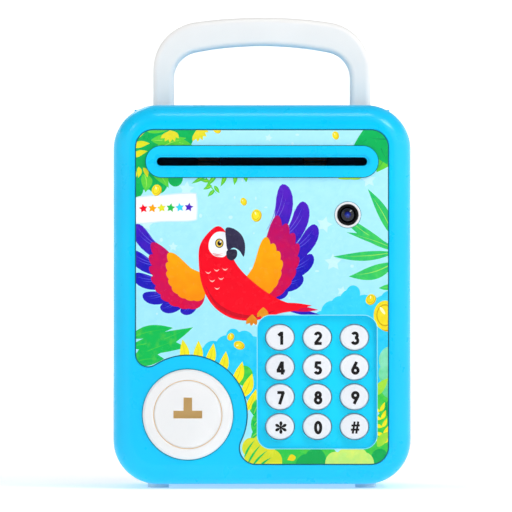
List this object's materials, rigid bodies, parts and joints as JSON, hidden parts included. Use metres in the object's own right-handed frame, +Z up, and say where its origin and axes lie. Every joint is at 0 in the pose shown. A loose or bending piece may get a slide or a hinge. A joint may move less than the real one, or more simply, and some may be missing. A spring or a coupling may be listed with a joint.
{
  "type": "toy atm savings bank",
  "caption": "Toy cash-machine money box: blue case with a hinged front door carrying a keypad, turning lock, note slot with motor feeder, camera eye and printed panel; folding carry handle.",
  "frame": {"origin": "on the surface the part stands on, under the middle of its overall box", "axes": "+Z up, the door and keypad face -Y, +X is to the right as seen from the front"},
  "size_m": [0.134, 0.1104, 0.2134],
  "materials": {
    "case_blue": "satin injection-moulded plastic",
    "printed_panel": "glossy printed sheet",
    "key_white": "satin white plastic with black legends",
    "lock_white": "satin white plastic",
    "handle_white": "semi-gloss white plastic",
    "black_plastic": "matt black plastic",
    "lens": "polished",
    "board": "solder mask",
    "silicone": "matt silicone",
    "roller_rubber": "matt rubber",
    "foot_rubber": "matt rubber",
    "steel": "bright zinc-plated steel",
    "cell_jacket": "printed cell jacket",
    "motor_can": "plated can",
    "inner_white": "natural plastic",
    "gear_plastic": "natural acetal",
    "cone_paper": "pressed paper"
  },
  "bodies": {
    "body": {"body_shell": "case_blue", "foot_front_left": "foot_rubber", "foot_front_right": "foot_rubber", "foot_rear_left": "foot_rubber", "foot_rear_right": "foot_rubber", "hinge_pin_lower": "steel", "hinge_pin_upper": "steel", "handle_pins": "steel"},
    "door": {"door_shell": "case_blue", "label_panel": "printed_panel", "slot_bezel": "case_blue", "note_guide_lower": "inner_white", "note_guide_upper": "inner_white", "keypad_membrane": "silicone", "keypad_board": "board", "main_board": "board", "camera_ring": "lock_white", "camera_barrel": "black_plastic", "camera_lens": "lens", "camera_board": "board", "lock_escutcheon": "lock_white", "solenoid_case": "motor_can", "door_back_cover": "inner_white", "cover_screws": "steel", "battery_cells": "cell_jacket", "battery_contacts": "steel", "speaker_frame": "steel", "speaker_cone": "cone_paper", "feeder_frame": "inner_white", "feed_motor": "motor_can", "note_sensor": "black_plastic"},
    "handle": {"carry_handle": "handle_white"},
    "lock": {"lock_dial": "lock_white", "lock_cam": "steel", "lock_screw": "steel"},
    "plunger": {"solenoid_plunger": "steel"},
    "battery_lid": {"battery_cover": "inner_white", "battery_cover_screw": "steel"},
    "feed_roller": {"feed_axle": "steel", "feed_rollers": "roller_rubber", "feed_gear": "gear_plastic"},
    "pinch_roller": {"pinch_axle": "steel", "pinch_rollers": "roller_rubber"},
    "idler": {"idler_gear": "gear_plastic"},
    "motor_rotor": {"motor_pinion": "gear_plastic"},
    "key_1": {"button_1": "key_white"},
    "key_2": {"button_2": "key_white"},
    "key_3": {"button_3": "key_white"},
    "key_4": {"button_4": "key_white"},
    "key_5": {"button_5": "key_white"},
    "key_6": {"button_6": "key_white"},
    "key_7": {"button_7": "key_white"},
    "key_8": {"button_8": "key_white"},
    "key_9": {"button_9": "key_white"},
    "key_star": {"button_star": "key_white"},
    "key_0": {"button_0": "key_white"},
    "key_hash": {"button_hash": "key_white"}
  },
  "joints": [
    {"name": "door_hinge", "type": "hinge", "parent": "body", "child": "door", "pos_m": [0.0644, -0.0298, 0.0875], "axis": [0, 0, 1], "range_deg": [0, 100]},
    {"name": "handle_fold", "type": "hinge", "parent": "body", "child": "handle", "pos_m": [0, -0.008, 0.1665], "axis": [-1, 0, 0], "range_deg": [0, 88]},
    {"name": "lock_turn", "type": "hinge", "parent": "door", "child": "lock", "pos_m": [-0.0334, -0.04, 0.03355], "axis": [0, 1, 0], "range_deg": [0, 90]},
    {"name": "plunger_slide", "type": "slide", "parent": "door", "child": "plunger", "axis": [0, 1, 0], "range_m": [0, 0.005]},
    {"name": "battery_lid_slide", "type": "slide", "parent": "door", "child": "battery_lid", "axis": [0, 1, 0], "range_m": [0, 0.015]},
    {"name": "feed_spin", "type": "hinge", "parent": "door", "child": "feed_roller", "pos_m": [0, -0.0418, 0.142], "axis": [1, 0, 0], "continuous": true},
    {"name": "idler_spin", "type": "hinge", "parent": "door", "child": "idler", "pos_m": [-0.0535, -0.0418, 0.131], "axis": [1, 0, 0], "continuous": true},
    {"name": "motor_spin", "type": "hinge", "parent": "door", "child": "motor_rotor", "pos_m": [-0.04, -0.0418, 0.1205], "axis": [1, 0, 0], "continuous": true},
    {"name": "pinch_spin", "type": "hinge", "parent": "door", "child": "pinch_roller", "pos_m": [0, -0.0418, 0.1526], "axis": [1, 0, 0], "continuous": true},
    {"name": "key_1_press", "type": "slide", "parent": "door", "child": "key_1", "axis": [0, 1, 0], "range_m": [0, 0.0013], "stiffness_N_per_m": 300, "springref_m": -0.001},
    {"name": "key_2_press", "type": "slide", "parent": "door", "child": "key_2", "axis": [0, 1, 0], "range_m": [0, 0.0013], "stiffness_N_per_m": 300, "springref_m": -0.001},
    {"name": "key_3_press", "type": "slide", "parent": "door", "child": "key_3", "axis": [0, 1, 0], "range_m": [0, 0.0013], "stiffness_N_per_m": 300, "springref_m": -0.001},
    {"name": "key_4_press", "type": "slide", "parent": "door", "child": "key_4", "axis": [0, 1, 0], "range_m": [0, 0.0013], "stiffness_N_per_m": 300, "springref_m": -0.001},
    {"name": "key_5_press", "type": "slide", "parent": "door", "child": "key_5", "axis": [0, 1, 0], "range_m": [0, 0.0013], "stiffness_N_per_m": 300, "springref_m": -0.001},
    {"name": "key_6_press", "type": "slide", "parent": "door", "child": "key_6", "axis": [0, 1, 0], "range_m": [0, 0.0013], "stiffness_N_per_m": 300, "springref_m": -0.001},
    {"name": "key_7_press", "type": "slide", "parent": "door", "child": "key_7", "axis": [0, 1, 0], "range_m": [0, 0.0013], "stiffness_N_per_m": 300, "springref_m": -0.001},
    {"name": "key_8_press", "type": "slide", "parent": "door", "child": "key_8", "axis": [0, 1, 0], "range_m": [0, 0.0013], "stiffness_N_per_m": 300, "springref_m": -0.001},
    {"name": "key_9_press", "type": "slide", "parent": "door", "child": "key_9", "axis": [0, 1, 0], "range_m": [0, 0.0013], "stiffness_N_per_m": 300, "springref_m": -0.001},
    {"name": "key_star_press", "type": "slide", "parent": "door", "child": "key_star", "axis": [0, 1, 0], "range_m": [0, 0.0013], "stiffness_N_per_m": 300, "springref_m": -0.001},
    {"name": "key_0_press", "type": "slide", "parent": "door", "child": "key_0", "axis": [0, 1, 0], "range_m": [0, 0.0013], "stiffness_N_per_m": 300, "springref_m": -0.001},
    {"name": "key_hash_press", "type": "slide", "parent": "door", "child": "key_hash", "axis": [0, 1, 0], "range_m": [0, 0.0013], "stiffness_N_per_m": 300, "springref_m": -0.001}
  ],
  "couplings": [
    {"joint": "idler_spin", "follows": "feed_spin", "ratio": -2.6667},
    {"joint": "motor_spin", "follows": "feed_spin", "ratio": 8.5333},
    {"joint": "pinch_spin", "follows": "feed_spin", "ratio": -1.04}
  ]
}
